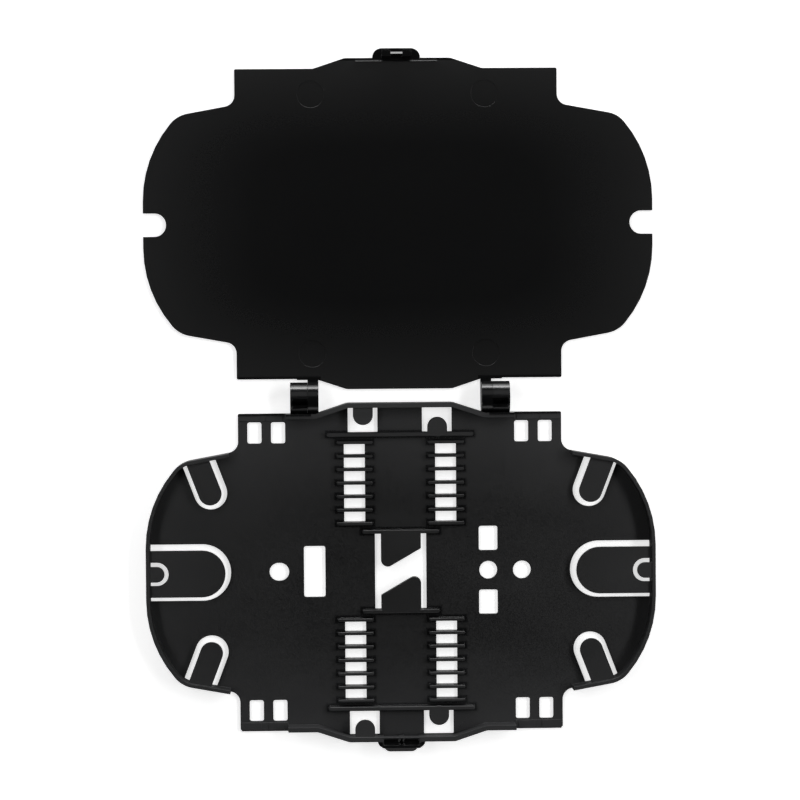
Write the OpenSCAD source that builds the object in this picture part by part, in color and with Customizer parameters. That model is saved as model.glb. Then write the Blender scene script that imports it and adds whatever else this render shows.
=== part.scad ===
// Hinged splice tray: a shallow base and a flat lid, two plastic mouldings.
// The hinge line is the X axis of the model seen from above, and it lies knuckle_r above the ground.
// The base is on the -Y side. The lid lies open on the +Y side with its inner face up.

/* [Plan of the tray] */
// Half length of the tray, from the middle to the end of an ear
ear_end_x = 78.9; // [74:0.1:86]
// Distance from the middle line to where the end and the shoulder of an ear would meet in a point
shoulder_y = 21.6; // [20:0.1:23]
// Radius of the long shoulder of an ear
shoulder_r = 37.3; // [34:0.1:42]
// Angle that the shoulder turns through
shoulder_turn = 40; // [38:0.5:42]
// Radius of the corner between the shoulder and the side of an ear
ear_corner_r = 9; // [2:0.5:10]
// Slope of the side of an ear, in degrees from the length of the tray
ear_side_slope = 10.3; // [6:0.1:12]
// Distance from the middle line to the side of an ear, where it meets the block
ear_side_y = 37.75; // [37:0.1:40]
// Radius of the inside corner between an ear and the block
block_fillet_r = 3.5; // [1:0.1:4]
// Half length of the block between the ears
block_x = 50.3; // [48.5:0.1:51]
// Half width of the block
block_y = 49.3; // [48:0.1:52]
// Half length of the raised middle at its crest
crest_x = 16.4; // [15.5:0.1:20]
// Half length of the raised middle at its root
crest_root_x = 26.2; // [24:0.1:27]
// How far the raised middle stands out from the block
crest_rise = 3.25; // [1:0.05:4]

/* [Base walls] */
// Thickness of the floor of the base
floor_t = 1.5; // [1:0.1:2]
// Thickness of the wall round an ear
ear_wall_t = 1.1; // [0.8:0.1:1.6]
// Thickness of the wall along a long side
side_wall_t = 1.5; // [1:0.1:2]
// Half length of the wall along a long side
side_wall_x = 35.4; // [34.6:0.1:36]
// Where the wall of an ear ends, from the middle
ear_wall_from_x = 53.2; // [52:0.1:55]
// Height of the low strip at the edge of each open port, over the floor
strip_h = 0.6; // [0.3:0.1:1]
// Width of that strip
strip_w = 2.3; // [1:0.1:2.4]
// Depth of the shallow dips in the strip
strip_dip = 0.3; // [0.1:0.05:0.3]
// How far the floor stands out past the wall at the two ports on the latch side
port_ledge = 0.4; // [0.2:0.1:0.6]

/* [Cable-tie windows] */
// Length of a window
tie_window_x = 4.4; // [3:0.1:5]
// Width of a window
tie_window_y = 6.6; // [4:0.1:7]
// Distance from the middle to the outer window
tie_outer_x = 45.2; // [44:0.1:46]
// Distance from the outer window to the inner one
tie_step = 7.35; // [6:0.05:8]
// Distance from the middle line to the windows
tie_y = 43.3; // [42:0.1:43.4]
// Corner radius of the windows and other square openings
window_r = 0.6; // [0.2:0.1:1]

/* [Splice holders] */
// Spacing of the sleeve places
sleeve_pitch = 4.2; // [3.6:0.05:4.4]
// Sleeve places in each of the two banks
sleeve_count = 6; // [3:1:6]
// Distance from the middle line to the innermost rib
first_rib_y = 15; // [14.4:0.1:16]
// Thickness of a rib
rib_t = 1; // [0.6:0.1:1.4]
// Length of a rib
rib_len = 11.2; // [8:0.1:13]
// Distance from the middle to the centre of a rib
rib_x = 14.2; // [12:0.1:16]
// Height of the ribs and bars over the floor
holder_h = 3.1; // [2:0.1:5]
// Length of the floor window between two ribs
rib_window_x = 6.5; // [4:0.1:8]
// Thickness of the bar outside each bank
outer_bar_t = 1.35; // [0.8:0.05:1.6]
// Half length of that bar
outer_bar_x = 22.8; // [17:0.1:24]
// Distance from the middle line to the inner face of that bar
outer_bar_y = 42; // [41:0.1:43]
// Thickness of the bar inside each bank
inner_bar_t = 1.2; // [0.8:0.05:1.4]
// Half length of that bar
inner_bar_x = 12; // [9:0.1:14]
// Distance from the middle line to the inner face of that bar
inner_bar_y = 11.8; // [11:0.1:12.2]

/* [Fibre tongues] */
// Thickness of the tongues
tongue_t = 1.3; // [0.8:0.1:1.8]
// Height of the top of the ear tongues over the ground
ear_tongue_z = 6.6; // [5:0.1:8]
// Distance from the middle to the centre of the round end of the end tongue
end_tongue_x = 61.65; // [60:0.05:64]
// Radius of that round end
end_tongue_r = 7.24; // [6:0.02:8]
// Space between a tongue's outline and the edge of its floor opening
tongue_gap = 1.6; // [1:0.05:2]
// Distance from the middle to the centre of the small tab
tab_x = 75.6; // [74:0.1:76]
// How far the small tab lies below the rim
tab_drop = 0.4; // [0.2:0.1:1]
// Radius of the small tab
tab_r = 2.4; // [1.5:0.1:3]
// Width of the slot round the small tab
tab_slot = 1.22; // [0.8:0.02:1.6]
// Place of the round end of a corner tongue along the tray
corner_tongue_x = 58.95; // [57:0.1:60]
// Place of that round end across the tray
corner_tongue_y = 24.75; // [24:0.1:26]
// Radius of that round end
corner_tongue_r = 3.55; // [2.5:0.05:4]
// Tilt of a corner tongue
corner_tongue_tilt = 20.9; // [15:0.1:25]
// Distance from the middle to the tongues of the splice holders
holder_tongue_x = 11.55; // [10:0.05:13]
// Radius of their round ends
holder_tongue_r = 3.08; // [2:0.02:3.5]
// Length of the floor openings under them
holder_opening_x = 9.25; // [8:0.05:9.4]
// How far a tongue on the side wall reaches in from the wall
wall_tongue_reach = 5.35; // [4:0.05:6]
// How far a tongue on the outer bar reaches out from the bar
bar_tongue_reach = 4.65; // [4:0.05:5]

/* [Middle opening] */
// Half length of the opening
middle_opening_x = 8; // [7:0.1:9]
// Half length of its two tongues
middle_tongue_x = 6.2; // [4:0.1:6.4]
// Half width of the slanted gap between the two tongues
middle_gap = 3.6; // [2:0.1:4]
// Slope of that gap
middle_gap_slope = 30; // [20:1:35]
// Radius of the nose of each tongue
middle_nose_r = 2.1; // [0.5:0.1:3]

/* [Fixing holes and slots in the floor] */
// Radius of the round fixing holes
fixing_r = 2.8; // [1.5:0.1:3]
// Distance from the middle to the outer fixing hole and the slotted one
fixing_x = 37.8; // [36:0.1:40]
// Distance from the middle to the inner fixing hole
inner_fixing_x = 27.3; // [26:0.1:28]
// How much longer than wide the slotted hole is
fixing_slot = 0.5; // [0.2:0.1:1.5]
// Length of the two windows beside the inner fixing hole
side_window_x = 5.85; // [4:0.05:6]
// Width of those windows
side_window_y = 7.6; // [5:0.1:8]
// Distance from the middle line to those windows
side_window_off = 9.95; // [9:0.05:12]
// Distance from the middle to the tall window
tall_window_off = 26.8; // [25:0.1:28]
// Length of the tall window
tall_window_x = 6.65; // [4:0.05:7]
// Width of the tall window
tall_window_y = 15.9; // [10:0.1:18]

/* [Lid] */
// Thickness of the lid
lid_t = 1.5; // [1:0.1:1.8]
// How far the lid's long edges lie inside those of the base
lid_inset = 1.25; // [1:0.05:2]
// How far the sides of the lid's ears lie inside those of the base
lid_ear_inset = 0.7; // [0.5:0.05:2]
// How far the lid's ends stand out past those of the base
lid_overhang = 0.2; // [0:0.05:0.4]
// How much the block is cut back at the one keyed corner of the lid
keyed_corner = 1; // [0:0.1:2]
// Space between the closed lid and the rim of the base
lid_gap = 0.1; // [0.05:0.05:0.3]
// Radius of the shallow ejector marks inside the lid
mark_r = 4.2; // [2:0.1:5]
// Depth of those marks
mark_depth = 0.12; // [0.05:0.01:0.3]
// Distance from the middle to the marks
mark_x = 27; // [20:0.1:40]
// Distance from the middle line to the marks
mark_y = 40.2; // [30:0.1:42]
// Half length of the locating lip at the latch edge
lip_x = 12.7; // [9:0.1:14]
// Width of the foot of that lip
lip_w = 0.7; // [0.4:0.1:1]
// Height of that lip
lip_h = 0.5; // [0.2:0.1:1]
// Space between that lip and the wall of the base
lip_gap = 0.2; // [0.1:0.05:0.6]

/* [Hinge] */
// Outer radius of the hinge knuckles
knuckle_r = 5; // [4.6:0.1:5.4]
// Space between the lid's edge and the knuckles of the base
knuckle_gap = 0.95; // [0.6:0.05:1.5]
// Distance from the middle to the inner face of a lid knuckle
lid_knuckle_from = 25.2; // [24:0.1:26]
// Width of a lid knuckle
lid_knuckle_w = 3.2; // [2.5:0.1:4]
// Width of a base knuckle
base_knuckle_w = 5.35; // [4:0.05:6]
// Side play between the knuckles
side_play = 0.2; // [0.2:0.05:0.5]
// Radius of the stub pins on the lid
pin_r = 2; // [1.5:0.1:2.4]
// Running clearance of the pins
pin_clear = 0.05; // [0.03:0.01:0.08]
// Thickness of the closed outer wall of a base knuckle
knuckle_cap = 0.7; // [0.5:0.1:1.2]
// Width of the snap-in slot in a base knuckle
snap_slot = 3; // [2:0.1:3.4]
// Length of the raised edge of the lid beside each knuckle
edge_step_len = 3.5; // [2:0.1:5]
// Height of that edge
edge_step = 0.3; // [0.1:0.05:0.5]

/* [Latch] */
// Place of the latch along the tray, from the middle
latch_off = -0.3; // [-1:0.1:1]
// Width of the lid's latch tab and of its receiver
latch_w = 14.8; // [14.4:0.1:18]
// How far the tab reaches past the lid's edge
tab_reach = 3; // [2.4:0.1:4]
// Corner radius of the tab
tab_corner_r = 2.9; // [1:0.1:3]
// Spacing of the two snap legs
leg_pitch = 6.4; // [6.3:0.1:7]
// Width of a snap leg
leg_w = 2.7; // [2:0.1:2.8]
// Thickness of a snap leg
leg_t = 1.8; // [1:0.1:2]
// Length of a snap leg under the closed lid
leg_len = 4.6; // [3.6:0.1:5]
// How far the barb stands out from its leg, towards the tray
barb = 0.45; // [0.3:0.05:0.5]
// Height of the barb
barb_h = 1.3; // [0.8:0.1:1.6]
// Thickness of the web between the legs
web_t = 0.65; // [0.5:0.05:1]
// How far the web is set back from the inner faces of the legs
web_set = 0.6; // [0.3:0.1:0.8]
// Free space at each side of a leg in its pocket
leg_clear = 0.95; // [0.7:0.05:1]
// Space before and behind a leg, and between its barb and the catch
catch_clear = 0.15; // [0.1:0.05:0.25]
// Thickness of the wall in front of a pocket, which the barb catches under
pocket_wall = 0.4; // [0.3:0.05:0.5]
// Thickness of the two thin ribs between the pockets
pocket_rib_t = 0.55; // [0.4:0.05:0.7]
// Thickness of the outer wall of the receiver
receiver_wall = 1; // [0.7:0.1:1.4]
// Corner radius of the receiver
receiver_corner_r = 2.3; // [1:0.1:2.4]
// How far the corners of the receiver lie below its middle
receiver_step = 0.8; // [0.3:0.1:2]
// How far the lower lip of the receiver reaches out
foot_reach = 2.1; // [0.5:0.1:2.4]
// Half length of that lip
foot_x = 5.2; // [4:0.1:6]
// Thickness of that lip at its edge
foot_edge_t = 0.5; // [0.3:0.1:1]

/* [Hidden] */
$fn = 48;
// A hair of overlap, so that solids that are one piece share volume
eps = 0.02;
turn_step = 7;
small_corner = 0.4;
crest_r = 3;
moulding = "#242426";

axis_z = knuckle_r;
rim_z = 2 * axis_z - lid_t - lid_gap;
holder_z = floor_t + holder_h;
wall_tongue_z = rim_z - lip_h - lip_gap;
lid_block_y = block_y - lid_inset;
middle_y = lid_block_y + knuckle_r + knuckle_gap;
crest_y = block_y + crest_rise;
base_knuckle_from = lid_knuckle_from + lid_knuckle_w + side_play;
pin_end = base_knuckle_from + base_knuckle_w - knuckle_cap - side_play;
wall_in_y = crest_y - side_wall_t;
outer_bar_out = outer_bar_y + outer_bar_t;
pocket_in_y = wall_in_y + pocket_wall;
leg_in_y = pocket_in_y + catch_clear;
leg_out_y = leg_in_y + leg_t;
web_y = leg_in_y + web_set;
pocket_out_y = leg_out_y + catch_clear;
pocket_x = leg_w + 2 * leg_clear;
receiver_y = pocket_out_y + receiver_wall;
legs_low_z = 2 * axis_z - lid_t - leg_len;
catch_z = legs_low_z + barb_h + catch_clear;

// Outlines: each corner is [x, y, radius], in anticlockwise order.

function at(c) = [c[0], c[1]];
function unit(v) = v / norm(v);
function left_of(v) = [-v[1], v[0]];
// Where the line through p along u meets the line through q along v
function meet(p, u, q, v) = p + u * cross(q - p, v) / cross(u, v);
function corner(p, r) = [p[0], p[1], r];

// The points of the arc that rounds corner b between its neighbours a and c
function arc_at(a, b, c) =
    let (u = unit(at(a) - at(b)), v = unit(at(c) - at(b)))
    let (half = acos(u * v) / 2, r = b[2], way = sign(cross(-u, v)))
    let (middle = at(b) + unit(u + v) * r / sin(half))
    let (start = at(b) + u * r / tan(half) - middle)
    let (turn = 180 - 2 * half, steps = max(2, ceil(turn / (r < 1 ? 45 : turn_step))))
    let (from = atan2(start[1], start[0]))
    [for (k = [0:steps]) middle + r * [cos(from + way * turn * k / steps), sin(from + way * turn * k / steps)]];

function round_off(c) = let (n = len(c))
    [for (i = [0:n - 1]) each c[i][2] > 0 ? arc_at(c[(i + n - 1) % n], c[i], c[(i + 1) % n]) : [at(c[i])]];

// The same corners with every side moved in by d
function moved_in(c, d) = let (n = len(c))
    [for (i = [0:n - 1])
        let (a = at(c[(i + n - 1) % n]), b = at(c[i]), e = at(c[(i + 1) % n]))
        let (p = a + d * left_of(unit(b - a)), q = b + d * left_of(unit(e - b)))
        corner(meet(p, b - a, q, e - b), c[i][2] + (cross(b - a, e - b) > 0 ? -1 : 1) * min(d, c[i][2] - 0.01))];

// One quarter of the outline, from the end of an ear to the crest
function quarter(end_x, side_x, ear_inset, inset) =
    let (shoulder = [end_x, shoulder_y - ear_inset])
    let (side = [side_x, ear_side_y - ear_inset])
    let (along = [cos(ear_side_slope), -sin(ear_side_slope)])
    let (ear_corner = meet(shoulder, [-sin(shoulder_turn), cos(shoulder_turn)], side, along))
    let (room = norm(ear_corner - shoulder) - shoulder_r * tan(shoulder_turn / 2) - eps)
    let (corner_r = min(ear_corner_r, room / tan((90 - ear_side_slope - shoulder_turn) / 2)))
    [corner(shoulder, shoulder_r), corner(ear_corner, corner_r), corner(side, block_fillet_r),
     [side_x, block_y - inset, small_corner], [crest_root_x, block_y - inset, crest_r],
     [crest_x, crest_y - inset, crest_r]];

function backwards(c) = [for (i = [len(c) - 1:-1:0]) c[i]];
function flip_x(c) = backwards([for (p = c) [-p[0], p[1], p[2]]]);
function flip_y(c) = backwards([for (p = c) [p[0], -p[1], p[2]]]);
function whole(q1, q2) = concat(q1, flip_x(q2), flip_x(flip_y(q2)), flip_y(q2));

function box_corners(x, y, r) = [[x / 2, y / 2, r], [-x / 2, y / 2, r], [-x / 2, -y / 2, r], [x / 2, -y / 2, r]];

base_quarter = quarter(ear_end_x, block_x, 0, 0);
base_corners = whole(base_quarter, base_quarter);
lid_end_x = ear_end_x + lid_overhang;
lid_block_x = block_x + lid_overhang;
lid_quarter = quarter(lid_end_x, lid_block_x, lid_ear_inset, lid_inset);
keyed_quarter = quarter(lid_end_x, lid_block_x - keyed_corner, lid_ear_inset, lid_inset);

// Flat shapes

module window(x, y) { polygon(round_off(box_corners(x, y, window_r))); }

// A tongue with a round end at the origin, running along +X
module tongue_shape(r, reach) {
    circle(r);
    translate([0, -r]) square([reach, 2 * r]);
}

// A rib or bar with round ends, lying along X
module bar_shape(half_x, t) {
    square([2 * half_x - t, t], center = true);
    for (s = [-1, 1]) translate([s * (half_x - t / 2), 0]) circle(t / 2);
}

// Each child once in every quarter of the tray
module four_times() {
    for (sx = [0, 1], sy = [0, 1]) mirror([sx, 0]) mirror([0, sy]) children();
}

// Each child on the two long sides
module both_sides() {
    for (sy = [0, 1]) mirror([0, sy, 0]) children();
}

module both_ends() {
    for (sx = [0, 1]) mirror([sx, 0, 0]) children();
}

// A profile drawn in y and z, carried along X
module along_x(w) { translate([-w / 2, 0, 0]) rotate([90, 0, 90]) linear_extrude(w) children(); }

module slab(z, t) { translate([0, 0, z]) linear_extrude(t) children(); }

module corner_tongue_place() {
    translate([corner_tongue_x, corner_tongue_y]) rotate(90 - corner_tongue_tilt) children();
}

module inside_of_walls(t) { polygon(round_off(moved_in(base_corners, t))); }

// Floor openings

module rib_windows() {
    for (i = [0:sleeve_count - 1])
        translate([rib_x, first_rib_y + (i + 0.5) * sleeve_pitch])
            square([rib_window_x, sleeve_pitch - rib_t], center = true);
}

module holder_opening() {
    translate([holder_tongue_x - holder_opening_x / 2, outer_bar_out])
        square([holder_opening_x, wall_in_y - outer_bar_out]);
}

module tie_windows() {
    for (i = [0, 1]) translate([tie_outer_x - i * tie_step, tie_y]) window(tie_window_x, tie_window_y);
}

// Openings under the ear tongues, where the mould closes off against itself
module ear_openings() {
    intersection() {
        inside_of_walls(ear_wall_t);
        union() {
            translate([end_tongue_x, 0]) tongue_shape(end_tongue_r + tongue_gap, ear_end_x - end_tongue_x);
            for (s = [0, 1]) mirror([0, s]) corner_tongue_place()
                tongue_shape(corner_tongue_r + tongue_gap, ear_end_x - corner_tongue_x);
        }
    }
}

module fixing_openings() {
    translate([fixing_x, 0]) circle(fixing_r);
    translate([inner_fixing_x, 0]) circle(fixing_r);
    translate([-fixing_x, 0]) bar_shape(fixing_r + fixing_slot / 2, 2 * fixing_r);
    for (s = [-1, 1]) translate([inner_fixing_x, s * side_window_off]) window(side_window_x, side_window_y);
    translate([-tall_window_off, 0]) window(tall_window_x, tall_window_y);
}

module floor_openings() {
    four_times() rib_windows();
    four_times() holder_opening();
    four_times() tie_windows();
    both_ends() ear_openings();
    fixing_openings();
    square([2 * middle_opening_x, 2 * inner_bar_y], center = true);
}

// Pieces of the base moulding, round its own middle

module base_floor() {
    linear_extrude(floor_t) difference() {
        polygon(round_off(base_corners));
        floor_openings();
    }
}

module base_walls() {
    linear_extrude(rim_z) difference() {
        polygon(round_off(base_corners));
        inside_of_walls(ear_wall_t);
        square([2 * ear_wall_from_x, 3 * block_y], center = true);
    }
    linear_extrude(rim_z) intersection() {
        difference() {
            polygon(round_off(base_corners));
            inside_of_walls(side_wall_t);
        }
        square([2 * side_wall_x, 3 * block_y], center = true);
    }
}

// The low strip at the edge of an open port, with a dip in line with each window
module port_strip() {
    difference() {
        translate([side_wall_x, block_y - strip_w, floor_t - eps])
            cube([block_x - small_corner - side_wall_x, strip_w, strip_h + eps]);
        for (i = [0, 1])
            translate([tie_outer_x - (i + 0.5) * tie_step + tie_window_x / 4, block_y - strip_w / 2, floor_t + strip_h])
                cube([tie_window_x / 2, 2 * strip_w, 2 * strip_dip], center = true);
    }
}

// The floor at the two ports on the latch side reaches a little past the wall
module port_ledges() {
    both_ends() translate([side_wall_x, -block_y - port_ledge, 0])
        cube([block_x - small_corner - side_wall_x, port_ledge + small_corner, floor_t]);
}

module splice_holders() {
    slab(floor_t - eps, holder_h + eps) {
        four_times() for (i = [0:sleeve_count])
            translate([rib_x, first_rib_y + i * sleeve_pitch]) bar_shape(rib_len / 2, rib_t);
    }
    both_sides() {
        translate([0, outer_bar_y + outer_bar_t / 2, 0]) linear_extrude(holder_z) bar_shape(outer_bar_x, outer_bar_t);
        translate([0, inner_bar_y + inner_bar_t / 2, 0]) linear_extrude(holder_z) bar_shape(inner_bar_x, inner_bar_t);
    }
}

// On the left the tongues reach in from the side wall, on the right they reach out from the outer bar
module holder_tongues() {
    both_sides() {
        slab(wall_tongue_z - tongue_t, tongue_t)
            translate([-holder_tongue_x, wall_in_y - wall_tongue_reach + holder_tongue_r]) rotate(90)
                tongue_shape(holder_tongue_r, wall_tongue_reach - holder_tongue_r + side_wall_t / 2);
        slab(holder_z - tongue_t, tongue_t)
            translate([holder_tongue_x, outer_bar_out + bar_tongue_reach - holder_tongue_r]) rotate(-90)
                tongue_shape(holder_tongue_r, bar_tongue_reach - holder_tongue_r + outer_bar_t / 2);
    }
}

module ear_tongues() {
    slab(ear_tongue_z - tongue_t, tongue_t) difference() {
        intersection() {
            inside_of_walls(ear_wall_t / 2);
            union() {
                translate([end_tongue_x, 0]) tongue_shape(end_tongue_r, ear_end_x - end_tongue_x);
                for (s = [0, 1]) mirror([0, s]) corner_tongue_place()
                    tongue_shape(corner_tongue_r, ear_end_x - corner_tongue_x);
            }
        }
        intersection() {
            inside_of_walls(ear_wall_t);
            translate([tab_x, 0]) tongue_shape(tab_r + tab_slot, ear_end_x - tab_x);
        }
    }
}

// A small tab on the wall, over the notch in the end tongue
module ear_tab() {
    slab(rim_z - tab_drop - tongue_t, tongue_t) intersection() {
        inside_of_walls(ear_wall_t / 2);
        translate([tab_x, 0]) tongue_shape(tab_r, ear_end_x - tab_x);
    }
}

// The two tongues of the middle opening, each turned half round from the other
module middle_tongues() {
    gap_rise = middle_tongue_x * tan(middle_gap_slope);
    root_y = inner_bar_y + inner_bar_t / 2;
    for (a = [0, 180]) rotate(a) slab(holder_z - tongue_t, tongue_t)
        polygon(round_off([[middle_tongue_x, root_y, 0], [-middle_tongue_x, root_y, 0],
                           [-middle_tongue_x, middle_gap - gap_rise, middle_nose_r],
                           [middle_tongue_x, middle_gap + gap_rise, small_corner]]));
}

// A base knuckle stands on a foot that runs down to the ground, outside the side wall
module base_knuckle() {
    translate([base_knuckle_from, middle_y, 0]) {
        translate([0, 0, axis_z]) rotate([0, 90, 0]) cylinder(r = knuckle_r, h = base_knuckle_w);
        foot_y = middle_y - block_y + side_wall_t / 2;
        translate([0, -foot_y, 0]) cube([base_knuckle_w, foot_y, axis_z]);
    }
}

// The blind bore for the lid's pin, and the slot that the pin snaps in through
module base_knuckle_bore() {
    bore_len = base_knuckle_w - knuckle_cap + 1;
    translate([base_knuckle_from - 1, middle_y, axis_z]) {
        rotate([0, 90, 0]) cylinder(r = pin_r + pin_clear, h = bore_len);
        translate([0, -snap_slot, 0]) cube([bore_len, snap_slot, 2 * knuckle_r]);
    }
}

// Room in the wall for the lid's knuckle and neck
module lid_knuckle_room() {
    translate([lid_knuckle_from - side_play, middle_y, axis_z]) rotate([0, 90, 0])
        cylinder(r = knuckle_r + side_play, h = lid_knuckle_w + 2 * side_play);
}

module receiver_outline() {
    depth = receiver_y - wall_in_y;
    translate([0, -wall_in_y - depth / 2])
        polygon(round_off([[latch_w / 2, depth / 2, 0], [-latch_w / 2, depth / 2, 0],
                           [-latch_w / 2, -depth / 2, receiver_corner_r],
                           [latch_w / 2, -depth / 2, receiver_corner_r]]));
}

module receiver_body() {
    middle_x = leg_pitch + pocket_x + 2 * pocket_rib_t;
    linear_extrude(rim_z - receiver_step) receiver_outline();
    linear_extrude(rim_z) intersection() {
        receiver_outline();
        square([middle_x, 3 * receiver_y], center = true);
    }
    translate([0, -receiver_y, 0]) receiver_foot();
}

// A lip with round corners that slopes down to its edge
module receiver_foot() {
    foot_r = 0.9 * foot_reach;
    intersection() {
        linear_extrude(rim_z)
            polygon(round_off([[foot_x, 1, 0], [-foot_x, 1, 0], [-foot_x, -foot_reach, foot_r],
                               [foot_x, -foot_reach, foot_r]]));
        along_x(2 * latch_w) polygon([[-foot_reach, 0], [receiver_wall / 2, 0],
                                      [receiver_wall / 2, foot_edge_t + foot_reach + receiver_wall / 2],
                                      [-foot_reach, foot_edge_t]]);
    }
}

// Two pockets for the lid's legs, with a narrow slot between them, and room for the web that joins the legs
module receiver_pockets() {
    pocket_y = pocket_out_y - pocket_in_y;
    for (s = [-1, 1]) translate([s * leg_pitch / 2 - pocket_x / 2, -pocket_out_y, floor_t]) {
        cube([pocket_x, pocket_y, rim_z]);
        cube([pocket_x, pocket_y + 1, catch_z - floor_t]);
    }
    slot_x = leg_pitch - pocket_x - 2 * pocket_rib_t;
    translate([-slot_x / 2, -pocket_out_y, floor_t]) cube([slot_x, pocket_y, rim_z]);
    translate([-leg_pitch / 2, -web_y - web_t - catch_clear, legs_low_z - catch_clear])
        cube([leg_pitch, web_t + 2 * catch_clear, rim_z]);
}

module tray_base() {
    color(moulding) translate([0, -middle_y, 0]) difference() {
        union() {
            base_floor();
            base_walls();
            four_times() port_strip();
            port_ledges();
            splice_holders();
            holder_tongues();
            both_ends() ear_tongues();
            both_ends() ear_tab();
            middle_tongues();
            both_ends() base_knuckle();
            translate([latch_off, 0, 0]) receiver_body();
        }
        both_ends() base_knuckle_bore();
        both_ends() lid_knuckle_room();
        translate([latch_off, 0, 0]) receiver_pockets();
    }
}

// Pieces of the lid moulding, round its own middle, with its inner face up

module lid_plate() {
    linear_extrude(lid_t) difference() {
        polygon(round_off(concat(keyed_quarter, flip_x(lid_quarter), flip_x(flip_y(lid_quarter)), flip_y(lid_quarter))));
        both_ends() translate([tab_x, 0]) tongue_shape(tab_r + tab_slot, ear_end_x - tab_x + 1);
    }
}

module ejector_marks() {
    for (sx = [-1, 1], sy = [-1, 1]) translate([sx * mark_x, sy * mark_y, lid_t - mark_depth])
        cylinder(r = mark_r, h = 1);
}

// The lip's outer side slopes, to lead the wall of the base past it
module locating_lip() {
    foot_y = wall_in_y - lip_gap;
    translate([0, foot_y, lid_t - eps]) along_x(2 * lip_x)
        polygon([[0, 0], [-4 / 5 * lip_w, lip_h + eps], [-lip_w, lip_h + eps], [-lip_w, 0]]);
}

// A knuckle on its neck, with the stub pin that runs in the base
module lid_knuckle() {
    translate([lid_knuckle_from, -middle_y, 0]) {
        translate([0, 0, axis_z]) rotate([0, 90, 0]) cylinder(r = knuckle_r, h = lid_knuckle_w);
        cube([lid_knuckle_w, knuckle_r + knuckle_gap + 1, lid_t]);
    }
    translate([lid_knuckle_from + lid_knuckle_w / 2, -middle_y, axis_z]) rotate([0, 90, 0])
        cylinder(r = pin_r, h = pin_end - lid_knuckle_from - lid_knuckle_w / 2);
    translate([lid_knuckle_from, -lid_block_y - edge_step, 0])
        cube([lid_knuckle_w + edge_step_len, edge_step + 1, lid_t]);
}

module latch_tab() {
    edge_y = crest_y - lid_inset;
    depth = tab_reach + 1;
    translate([0, edge_y - 1 + depth / 2, 0]) linear_extrude(lid_t)
        polygon(round_off([[latch_w / 2, depth / 2, tab_corner_r], [-latch_w / 2, depth / 2, tab_corner_r],
                           [-latch_w / 2, -depth / 2, 0], [latch_w / 2, -depth / 2, 0]]));
    for (s = [-1, 1]) translate([s * leg_pitch / 2, 0, 0]) snap_leg();
    latch_web();
}

// A leg with a wedge-shaped barb on its inner side, at the free end
module snap_leg() {
    top = lid_t + leg_len;
    along_x(leg_w) polygon([[leg_in_y, lid_t - eps], [leg_out_y, lid_t - eps], [leg_out_y, top],
                            [leg_in_y, top], [leg_in_y - barb, top - barb_h + barb / 2],
                            [leg_in_y - barb, top - barb_h], [leg_in_y, top - barb_h]]);
}

// The web between the legs, with a slope on its outer side
module latch_web() {
    top = lid_t + leg_len;
    along_x(leg_pitch) polygon([[web_y, lid_t - eps], [web_y + web_t, lid_t - eps],
                                [web_y + web_t, top - 0.8 * web_t], [web_y, top]]);
}

module lid() {
    color(moulding) translate([0, middle_y, 0]) difference() {
        union() {
            lid_plate();
            translate([latch_off, 0, 0]) locating_lip();
            both_ends() lid_knuckle();
            translate([latch_off, 0, 0]) latch_tab();
        }
        ejector_marks();
    }
}

tray_base();
lid();
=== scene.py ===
import math
import bmesh
import bpy
import numpy as np
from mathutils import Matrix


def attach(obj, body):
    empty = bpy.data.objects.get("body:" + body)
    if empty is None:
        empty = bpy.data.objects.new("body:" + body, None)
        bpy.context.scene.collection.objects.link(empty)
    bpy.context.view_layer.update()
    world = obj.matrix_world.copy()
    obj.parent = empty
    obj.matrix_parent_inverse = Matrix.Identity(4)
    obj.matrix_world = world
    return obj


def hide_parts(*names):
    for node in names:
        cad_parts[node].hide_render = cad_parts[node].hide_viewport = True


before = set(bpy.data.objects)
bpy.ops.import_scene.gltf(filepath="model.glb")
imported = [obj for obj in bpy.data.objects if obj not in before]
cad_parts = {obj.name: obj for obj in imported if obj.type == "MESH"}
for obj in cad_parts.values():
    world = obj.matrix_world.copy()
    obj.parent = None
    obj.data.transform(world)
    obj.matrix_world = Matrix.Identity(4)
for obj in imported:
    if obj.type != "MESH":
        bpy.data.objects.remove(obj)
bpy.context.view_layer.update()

mm = 0.001

for leftover in [o for o in bpy.data.objects if o.type in {"CAMERA", "LIGHT"}]:
    bpy.data.objects.remove(leftover)


# node helpers
def addNode(tree, kind, **settings):
    node = tree.nodes.new(kind)
    for name, value in settings.items():
        setattr(node, name, value)
    return node


# each value is a number or colour for the socket, or another node's output socket to link to it
def setInputs(tree, node, values):
    for name, value in values.items():
        if isinstance(value, bpy.types.NodeSocket):
            tree.links.new(value, node.inputs[name])
        else:
            node.inputs[name].default_value = value


# one maths node whose operands are numbers or sockets; gives its output socket
def calc(tree, operation, *values, clamp=False):
    node = addNode(tree, "ShaderNodeMath", operation=operation, use_clamp=clamp)
    setInputs(tree, node, dict(enumerate(values)))
    return node.outputs[0]


# value = 0 at low, rising to 1 at high, straight or with soft ends
def ramp(tree, value, low, high, shape="LINEAR"):
    node = addNode(tree, "ShaderNodeMapRange", interpolation_type=shape)
    setInputs(tree, node, {"Value": value, "From Min": low, "From Max": high})
    return node.outputs[0]


# colour = first * (1 - factor) + second * factor; the numbers are the colour sockets of a Mix node
def blendColours(tree, factor, first, second):
    node = addNode(tree, "ShaderNodeMix", data_type="RGBA", clamp_factor=True)
    setInputs(tree, node, {0: factor, 6: first, 7: second})
    return node.outputs[2]


def groupNode(tree, group, values):
    node = addNode(tree, "ShaderNodeGroup", node_tree=group)
    setInputs(tree, node, values)
    return node.outputs


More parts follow.
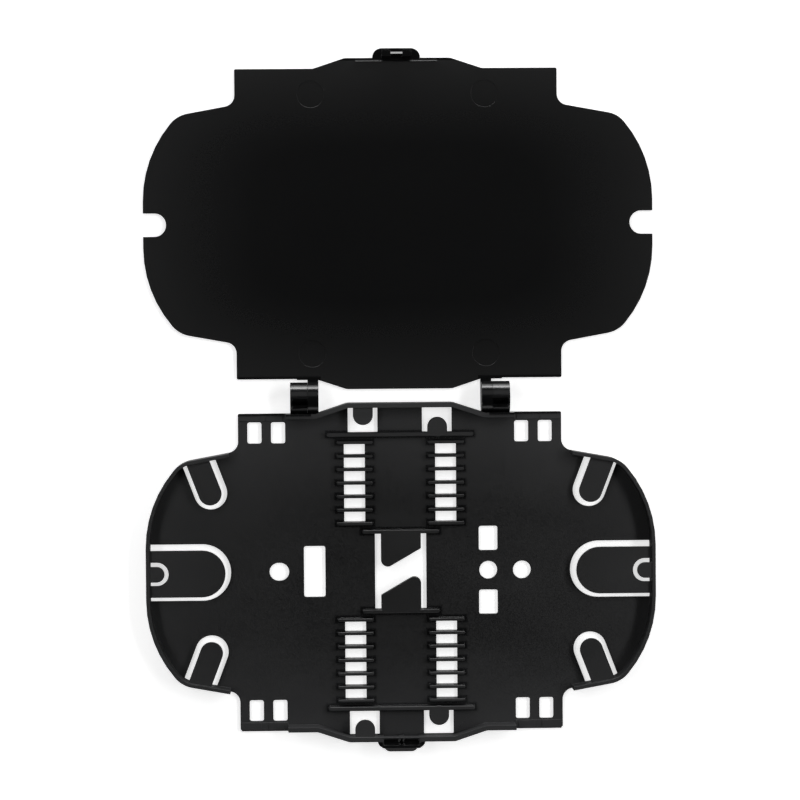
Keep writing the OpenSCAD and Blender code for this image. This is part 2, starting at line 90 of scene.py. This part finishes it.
def splitAxes(tree, vector):
    node = addNode(tree, "ShaderNodeSeparateXYZ")
    setInputs(tree, node, {0: vector})
    return node.outputs


def newGroup(name, inputs, outputs):
    group = bpy.data.node_groups.new(name, "ShaderNodeTree")
    for label, kind, value in inputs:
        socket = group.interface.new_socket(name=label, in_out="INPUT", socket_type=kind)
        if value is not None:
            socket.default_value = value
    for label, kind in outputs:
        group.interface.new_socket(name=label, in_out="OUTPUT", socket_type=kind)
    return group, addNode(group, "NodeGroupInput").outputs, addNode(group, "NodeGroupOutput")


# the spark-eroded skin of the mould: height = fine noise + 0.33 * a coarser noise at 0.3 of its scale
def sparkSkinGroup():
    group, given, result = newGroup("sparkSkin", [
        ("Vector", "NodeSocketVector", None),
        ("Grain", "NodeSocketFloat", 2600.0),
        ("Strength", "NodeSocketFloat", 0.2),
        ("Depth", "NodeSocketFloat", 0.00002),
    ], [("Normal", "NodeSocketVector"), ("Value", "NodeSocketFloat")])
    fine = addNode(group, "ShaderNodeTexNoise", noise_dimensions="3D")
    setInputs(group, fine, {
        "Vector": given["Vector"], "Scale": given["Grain"], "Detail": 3.0, "Roughness": 0.6,
    })
    coarse = addNode(group, "ShaderNodeTexNoise", noise_dimensions="3D")
    coarseScale = calc(group, "MULTIPLY", given["Grain"], 0.3)
    setInputs(group, coarse, {
        "Vector": given["Vector"], "Scale": coarseScale, "Detail": 2.0, "Roughness": 0.5,
    })
    bump = addNode(group, "ShaderNodeBump")
    setInputs(group, bump, {
        "Strength": given["Strength"],
        "Distance": given["Depth"],
        "Height": calc(group, "MULTIPLY_ADD", coarse.outputs[0], 0.33, fine.outputs[0]),
    })
    setInputs(group, result, {"Normal": bump.outputs["Normal"], "Value": fine.outputs[0]})
    return group


# slow drift over a moulding: value = middle + swing * (noise - 1/2), its flow lines stretched along X
def flowDriftGroup():
    group, given, result = newGroup("flowDrift", [
        ("Vector", "NodeSocketVector", None),
        ("Middle", "NodeSocketFloat", 0.45),
        ("Swing", "NodeSocketFloat", 0.1),
        ("Scale", "NodeSocketFloat", 30.0),
    ], [("Value", "NodeSocketFloat")])
    stretch = addNode(group, "ShaderNodeMapping")
    setInputs(group, stretch, {"Vector": given["Vector"], "Scale": (0.6, 1.0, 1.0)})
    noise = addNode(group, "ShaderNodeTexNoise", noise_dimensions="3D")
    setInputs(group, noise, {
        "Vector": stretch.outputs[0], "Scale": given["Scale"], "Detail": 4.0, "Roughness": 0.55,
    })
    centred = calc(group, "SUBTRACT", noise.outputs[0], 0.5)
    setInputs(group, result, {"Value": calc(group, "MULTIPLY_ADD", centred, given["Swing"], given["Middle"])})
    return group


# a polished part of the mould: value = 0 at From along Y, rising to 1 at To,
# and only where |x| is over Inner X
def polishedZoneGroup():
    group, given, result = newGroup("polishedZone", [
        ("Vector", "NodeSocketVector", None),
        ("From", "NodeSocketFloat", -0.006),
        ("To", "NodeSocketFloat", -0.005),
        ("Inner X", "NodeSocketFloat", 0.0),
    ], [("Value", "NodeSocketFloat")])
    axes = splitAxes(group, given["Vector"])
    rise = ramp(group, axes["Y"], given["From"], given["To"], "SMOOTHSTEP")
    outside = calc(group, "GREATER_THAN", calc(group, "ABSOLUTE", axes["X"]), given["Inner X"])
    setInputs(group, result, {"Value": calc(group, "MULTIPLY", rise, outside)})
    return group


# matt rim of a plate, also the mask of the painted light that makes the rim paler: with r = ((x/halfX)^4 +
# ((y - middleY)/halfY)^4)^(1/4), value rises from 0 at From to 1 at To
def mattRimAndPaintedLightGroup():
    group, given, result = newGroup("mattRimAndPaintedLight", [
        ("Vector", "NodeSocketVector", None),
        ("Middle Y", "NodeSocketFloat", 0.054),
        ("Half X", "NodeSocketFloat", 0.079),
        ("Half Y", "NodeSocketFloat", 0.054),
        ("From", "NodeSocketFloat", 0.3),
        ("To", "NodeSocketFloat", 1.0),
    ], [("Value", "NodeSocketFloat")])
    axes = splitAxes(group, given["Vector"])
    across = calc(group, "SUBTRACT", axes["Y"], given["Middle Y"])
    powers = []
    for length, half in ((axes["X"], given["Half X"]), (across, given["Half Y"])):
        share = calc(group, "ABSOLUTE", calc(group, "DIVIDE", length, half))
        powers.append(calc(group, "POWER", share, 4.0))
    reach = calc(group, "POWER", calc(group, "ADD", *powers), 0.25)
    setInputs(group, result, {"Value": ramp(group, reach, given["From"], given["To"])})
    return group


# polished mould insert round a row of ribs that lie along X: dx = ||x| - rib x| - half length, and
# dy = distance to the nearest of the count + 1 lines at |y - middle y| = first y + i * pitch, less half
# a thickness; value = 1 where the larger of dx and dy is under 0, falling to 0 at the margin,
# and 0 over the top of the ribs
def combInsertGroup():
    group, given, result = newGroup("combInsert", [
        ("Vector", "NodeSocketVector", None),
        ("Middle Y", "NodeSocketFloat", -0.054),
        ("Rib X", "NodeSocketFloat", 0.0),
        ("Half Length", "NodeSocketFloat", 0.01),
        ("First Y", "NodeSocketFloat", 0.01),
        ("Half Thickness", "NodeSocketFloat", 0.0005),
        ("Pitch", "NodeSocketFloat", 0.0042),
        ("Count", "NodeSocketFloat", 0.0),
        ("Margin", "NodeSocketFloat", 0.0012),
        ("Top Z", "NodeSocketFloat", 0.0043),
    ], [("Value", "NodeSocketFloat")])
    axes = splitAxes(group, given["Vector"])
    along = calc(group, "SUBTRACT", calc(group, "ABSOLUTE", axes["X"]), given["Rib X"])
    dx = calc(group, "SUBTRACT", calc(group, "ABSOLUTE", along), given["Half Length"])
    side = calc(group, "ABSOLUTE", calc(group, "SUBTRACT", axes["Y"], given["Middle Y"]))
    row = calc(group, "SUBTRACT", side, given["First Y"])
    step = calc(group, "ROUND", calc(group, "DIVIDE", row, given["Pitch"]))
    step = calc(group, "MINIMUM", calc(group, "MAXIMUM", step, 0.0), given["Count"])
    off = calc(group, "ABSOLUTE", calc(group, "SUBTRACT", row, calc(group, "MULTIPLY", step, given["Pitch"])))
    dy = calc(group, "SUBTRACT", off, given["Half Thickness"])
    away = ramp(group, calc(group, "MAXIMUM", dx, dy), 0.0, given["Margin"], "SMOOTHSTEP")
    below = calc(group, "LESS_THAN", axes["Z"], given["Top Z"])
    setInputs(group, result, {"Value": calc(group, "MULTIPLY", calc(group, "SUBTRACT", 1.0, away), below)})
    return group


sparkSkin = sparkSkinGroup()
combInsert = combInsertGroup()
mattRimAndPaintedLight = mattRimAndPaintedLightGroup()
polishedZone = polishedZoneGroup()
flowDrift = flowDriftGroup()


# satin black plastic: dark pigment, with painted light that makes it paler towards the rim, and the fine skin
# of the mould as bump;
# roughness = (drift + rim rougher * rim + speckle * fine noise) * polish of the hinge and latch
# * polish of the ribs
def blackMoulding(name, look):
    material = bpy.data.materials.new(name)
    material.use_nodes = True
    tree = material.node_tree
    tree.nodes.clear()
    place = addNode(tree, "ShaderNodeTexCoord").outputs["Object"]

    skin = groupNode(tree, sparkSkin, {
        "Vector": place, "Grain": look["grain"],
        "Strength": look["grainStrength"], "Depth": look["grainDepth"],
    })
    hinge = groupNode(tree, polishedZone, {
        "Vector": place, "From": look["hingeFrom"], "To": look["hingeTo"], "Inner X": look["hingeInner"],
    })
    latch = groupNode(tree, polishedZone, {"Vector": place, "From": look["latchFrom"], "To": look["latchTo"]})
    polished = calc(tree, "MAXIMUM", hinge["Value"], latch["Value"])
    rim = groupNode(tree, mattRimAndPaintedLight, {
        "Vector": place, "Middle Y": look["middleY"], "Half X": look["halfX"],
        "From": look["rimFrom"], "To": look["rimTo"],
    })
    # the rim less the polished zones: rougher there, and painted light paling the base colour there
    unpolishedRimAndPaintedLight = calc(tree, "SUBTRACT", rim["Value"], polished, clamp=True)

    drift = groupNode(tree, flowDrift, {
        "Vector": place, "Middle": look["roughness"],
        "Swing": look["roughnessSwing"], "Scale": look["driftScale"],
    })
    roughness = calc(tree, "MULTIPLY_ADD", unpolishedRimAndPaintedLight, look["rimRougher"], drift["Value"])
    roughness = calc(tree, "MULTIPLY_ADD", skin["Value"], look["speckle"], roughness)
    share = calc(tree, "MULTIPLY_ADD", polished, look["polish"] - 1.0, 1.0)
    roughness = calc(tree, "MULTIPLY", roughness, share)
    for row in look["ribRows"]:
        insert = groupNode(tree, combInsert, {"Vector": place, **row})
        share = calc(tree, "MULTIPLY_ADD", insert["Value"], look["ribPolish"] - 1.0, 1.0)
        roughness = calc(tree, "MULTIPLY", roughness, share)

    tint = groupNode(tree, flowDrift, {
        "Vector": place, "Middle": 0.5,
        "Swing": look["tintSwing"], "Scale": look["driftScale"] * look["tintFiner"],
    })
    pigment = blendColours(tree, tint["Value"], (*look["darkest"], 1.0), (*look["lightest"], 1.0))

    # base colour: the pigment blended towards the paler rim colour, which is painted light
    shader = addNode(tree, "ShaderNodeBsdfPrincipled")
    setInputs(tree, shader, {
        "Base Color": blendColours(tree, unpolishedRimAndPaintedLight, pigment, (*look["paintedRimLightColour"], 1.0)),
        "Roughness": roughness,
        "Normal": skin["Normal"],
        "IOR": look["ior"],
        "Specular IOR Level": look["specular"],
        "Metallic": 0.0,
    })
    setInputs(tree, addNode(tree, "ShaderNodeOutputMaterial"), {"Surface": shader.outputs["BSDF"]})
    return material


trayLook = {
    "ior": 1.5, "specular": 0.5,
    "darkest": (0.0030, 0.0031, 0.0034), "lightest": (0.0046, 0.0047, 0.0051),
    "roughness": 0.16, "roughnessSwing": 0.22, "driftScale": 45.0,
    "grain": 2400.0, "grainStrength": 0.6, "grainDepth": 0.00003, "speckle": 0.50,
    "middleY": -0.054, "halfX": 0.120, "rimFrom": 0.40, "rimTo": 0.95, "rimRougher": 0.12,
    "tintSwing": 1.2, "tintFiner": 1.7,
    # paler rim colour: painted light
    "paintedRimLightColour": (0.0180, 0.0184, 0.0196),
    "hingeFrom": -0.0061, "hingeTo": -0.0049, "hingeInner": 0.0275,
    "latchFrom": -0.1064, "latchTo": -0.1070, "polish": 0.50,
    "ribPolish": 0.35, "ribRows": [
        {"Rib X": 0.0142, "Half Length": 0.0056, "First Y": 0.015, "Half Thickness": 0.0005, "Count": 6.0},
        {"Half Length": 0.0228, "First Y": 0.042675, "Half Thickness": 0.00068},
        {"Half Length": 0.0120, "First Y": 0.0124, "Half Thickness": 0.0006},
    ],
}
lidLook = {
    "ior": 1.5, "specular": 0.40,
    "darkest": (0.0025, 0.0026, 0.0028), "lightest": (0.0035, 0.0036, 0.0038),
    "roughness": 0.19, "roughnessSwing": 0.04, "driftScale": 22.0,
    "grain": 3200.0, "grainStrength": 0.10, "grainDepth": 0.00002, "speckle": 0.08,
    "middleY": 0.054, "halfX": 0.100, "rimFrom": 0.45, "rimTo": 0.95, "rimRougher": 0.14,
    "tintSwing": 1.2, "tintFiner": 1.7,
    # paler rim colour: painted light
    "paintedRimLightColour": (0.0040, 0.0041, 0.0043),
    "hingeFrom": 0.0072, "hingeTo": 0.0060, "hingeInner": 0.0245,
    "latchFrom": 0.1043, "latchTo": 0.1048, "polish": 0.80,
    "ribRows": [],
}
trayPlastic = blackMoulding("trayPlastic", trayLook)
lidPlastic = blackMoulding("lidPlastic", lidLook)
print("stage: plastics made")


# the round faces of the knuckles beside the hinge gap, moved outwards along X by step
def widenShoulders(build, shoulder):
    for vert in build.verts:
        onFace = abs(abs(vert.co.x) - shoulder["x"]) < shoulder["tolerance"]
        if onFace and abs(vert.co.y) < shoulder["reachY"]:
            vert.co.x += math.copysign(shoulder["step"], vert.co.x)


# bevel weight of each sharp edge = its own width over the widest: round tops of the ribs,
# crisp edges elsewhere
def weighEdges(build, finish):
    layer = build.edges.layers.float.new("bevel_weight_edge")
    widest = max(finish["edgeWidth"], finish["ribWidth"])
    for edge in build.edges:
        if edge.calc_face_angle(0.0) > math.radians(finish["crease"]):
            onRib = all(abs(vert.co.z - finish["ribTop"]) < finish["topWithin"]
                        and abs(vert.co.x) < finish["ribReachX"] for vert in edge.verts)
            edge[layer] = (finish["ribWidth"] if onRib else finish["edgeWidth"]) / widest
    return widest


# a copy of the CAD solid: corners merged, flat facets joined, the flats cut through their openings
# at a few lines so that no face has a hole in it, then every sharp edge rounded by a narrow bevel
def mouldedCopy(nodeName, newName, finish):
    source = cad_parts[nodeName]
    mesh = source.data.copy()
    mesh.name = newName
    build = bmesh.new()
    build.from_mesh(mesh)
    bmesh.ops.remove_doubles(build, verts=build.verts, dist=finish["merge"])
    bmesh.ops.dissolve_degenerate(build, edges=build.edges, dist=finish["merge"] * 0.5)
    bmesh.ops.dissolve_limit(build, verts=build.verts, edges=build.edges, delimit=set(),
                             angle_limit=math.radians(finish["flatWithin"]), use_dissolve_boundaries=False)
    if "shoulder" in finish:
        widenShoulders(build, finish["shoulder"])
    for axis, places in finish["cuts"].items():
        across = (1.0, 0.0, 0.0) if axis == "x" else (0.0, 1.0, 0.0)
        for place in places:
            bmesh.ops.bisect_plane(build, geom=build.verts[:] + build.edges[:] + build.faces[:],
                                   dist=finish["cutWithin"], plane_no=across,
                                   plane_co=tuple(place * mm * part for part in across))
    widest = weighEdges(build, finish)
    build.to_mesh(mesh)
    build.free()
    mesh.polygons.foreach_set("use_smooth", np.ones(len(mesh.polygons), dtype=bool))
    mesh.set_sharp_from_angle(angle=math.radians(finish["crease"]))
    piece = bpy.data.objects.new(newName, mesh)
    bpy.context.scene.collection.objects.link(piece)
    mesh.materials.clear()
    mesh.materials.append(finish["plastic"])
    bevel = piece.modifiers.new("softEdge", "BEVEL")
    bevel.width = widest
    bevel.segments = finish["edgeSegments"]
    bevel.limit_method = "WEIGHT"
    bevel.use_clamp_overlap = False
    flats = piece.modifiers.new("flatFaces", "WEIGHTED_NORMAL")
    flats.mode = "FACE_AREA"
    flats.weight = 100
    flats.keep_sharp = True
    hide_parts(nodeName)
    return piece


# widths, tops and reaches in metres, angles in degrees, cuts in millimetres
trayFinish = {
    "merge": 0.000002, "flatWithin": 0.8, "crease": 50, "edgeSegments": 2, "plastic": trayPlastic,
    "edgeWidth": 0.00009, "ribWidth": 0.00026, "ribTop": 0.0046, "ribReachX": 0.035,
    "topWithin": 0.00001, "cutWithin": 0.0000001,
    "cuts": {"x": (-12.8, 12.8), "y": (-94.3, -79.0, -54.0, -29.0, -13.7)},
}
lidFinish = {
    "merge": 0.000002, "flatWithin": 0.8, "crease": 50, "edgeSegments": 2, "plastic": lidPlastic,
    "edgeWidth": 0.00005, "ribWidth": 0.0, "ribTop": 0.0, "ribReachX": 0.0,
    "topWithin": 0.00001, "cutWithin": 0.0000001,
    "shoulder": {"x": 0.0284, "tolerance": 0.000005, "reachY": 0.0065, "step": 0.00018},
    "cuts": {"x": (-27.0, 27.0), "y": (12.0, 54.0, 96.0)},
}

trayShell = mouldedCopy("tray_base", "trayShell", trayFinish)
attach(trayShell, "base")
lidShell = mouldedCopy("lid", "lidShell", lidFinish)
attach(lidShell, "lid")
print("stage: mouldings softened,", len(trayShell.data.polygons), "and", len(lidShell.data.polygons),
      "faces before bevel")


stageSet = {"floorSize": 6.0, "floorWhite": 0.86, "cameraGlow": 0.66, "floorDrop": 0.00004}


# floor: a square at z = -drop, corners at (+-size/2, +-size/2);
# its white is paint, plus a glow for the camera alone
def whiteFloor(stage):
    side = np.array([-0.5, 0.5]) * stage["floorSize"]
    x, y = np.meshgrid(side, side, indexing="ij")
    points = np.stack([x.ravel(), y.ravel(), np.full(4, -stage["floorDrop"])], axis=1)
    mesh = bpy.data.meshes.new("studioFloor")
    mesh.from_pydata(points.tolist(), [], [(0, 2, 3, 1)])
    mesh.update()
    floor = bpy.data.objects.new("studioFloor", mesh)
    bpy.context.scene.collection.objects.link(floor)

    material = bpy.data.materials.new("studioWhite")
    material.use_nodes = True
    tree = material.node_tree
    tree.nodes.clear()
    paint = addNode(tree, "ShaderNodeBsdfDiffuse")
    setInputs(tree, paint, {"Color": (stage["floorWhite"],) * 3 + (1.0,)})
    ray = addNode(tree, "ShaderNodeLightPath")
    glow = addNode(tree, "ShaderNodeEmission")
    setInputs(tree, glow, {
        "Color": (1.0, 1.0, 1.0, 1.0),
        "Strength": calc(tree, "MULTIPLY", ray.outputs["Is Camera Ray"], stage["cameraGlow"]),
    })
    both = addNode(tree, "ShaderNodeAddShader")
    setInputs(tree, both, {0: paint.outputs["BSDF"], 1: glow.outputs["Emission"]})
    setInputs(tree, addNode(tree, "ShaderNodeOutputMaterial"), {"Surface": both.outputs[0]})
    mesh.materials.append(material)


whiteFloor(stageSet)

skyLook = {"level": 0.03, "seen": 1.0}


# world: plain grey light, and white where the camera sees it
def softSky(look):
    world = bpy.data.worlds.new("studioSky")
    bpy.context.scene.world = world
    world.use_nodes = True
    tree = world.node_tree
    tree.nodes.clear()
    lit = addNode(tree, "ShaderNodeBackground")
    setInputs(tree, lit, {"Color": (1.0, 1.0, 1.0, 1.0), "Strength": look["level"]})
    seen = addNode(tree, "ShaderNodeBackground")
    setInputs(tree, seen, {"Color": (1.0, 1.0, 1.0, 1.0), "Strength": look["seen"]})
    ray = addNode(tree, "ShaderNodeLightPath")
    pick = addNode(tree, "ShaderNodeMixShader")
    setInputs(tree, pick, {0: ray.outputs["Is Camera Ray"], 1: lit.outputs[0], 2: seen.outputs[0]})
    setInputs(tree, addNode(tree, "ShaderNodeOutputWorld"), {"Surface": pick.outputs[0]})


softSky(skyLook)

lamps = {
    "backWall": {"at": (0.0, 1.20, 0.17), "aim": (0.0, 0.0, 0.02), "size": (2.0, 0.33), "watts": 24.0},
    "frontWall": {"at": (0.0, -1.20, 0.35), "aim": (0.0, 0.0, 0.1), "size": (1.8, 0.4), "watts": 2.5},
    "leftStrip": {"at": (-0.55, 0.22, 1.08), "aim": (-0.075, 0.22, 0.0), "size": (0.9, 0.24), "watts": 2.6},
    "rearPanel": {"at": (0.0, 0.70, 1.00), "aim": (0.0, 0.0, 0.0), "size": (1.0, 0.70), "watts": 1.0},
    "rightStrip": {"at": (0.73, 0.22, 1.03), "aim": (0.075, 0.22, 0.0), "size": (0.9, 0.20), "watts": 5.1},
}


# Euler angles of a lamp that looks from place to target down its own -Z
def aimAt(place, target):
    away = np.array(place, float) - np.array(target, float)
    flat = math.hypot(away[0], away[1])
    return (math.atan2(flat, away[2]), 0.0, math.atan2(away[0], -away[1]))


for lampName, lamp in lamps.items():
    light = bpy.data.lights.new(lampName, "AREA")
    light.shape = "RECTANGLE"
    light.size, light.size_y = lamp["size"]
    light.energy = lamp["watts"]
    holder = bpy.data.objects.new(lampName, light)
    holder.location = lamp["at"]
    holder.rotation_euler = aimAt(lamp["at"], lamp["aim"])
    bpy.context.scene.collection.objects.link(holder)

cameraSet = {
    "at": (-0.0267, 0.0281, 0.9396), "turn": (-1.7515, -1.6515, -0.4228), "lens": 135.8765, "sensor": 36.0,
}
camera = bpy.data.cameras.new("overheadCamera")
camera.lens = cameraSet["lens"]
camera.sensor_width = cameraSet["sensor"]
camera.clip_start = 0.01
camera.clip_end = 20.0
cameraHolder = bpy.data.objects.new("overheadCamera", camera)
cameraHolder.location = cameraSet["at"]
cameraHolder.rotation_euler = tuple(math.radians(a) for a in cameraSet["turn"])
bpy.context.scene.collection.objects.link(cameraHolder)
bpy.context.scene.camera = cameraHolder
bpy.context.scene.view_settings.view_transform = "Standard"
print("stage: floor, lamps and camera set")

bpy.context.view_layer.update()
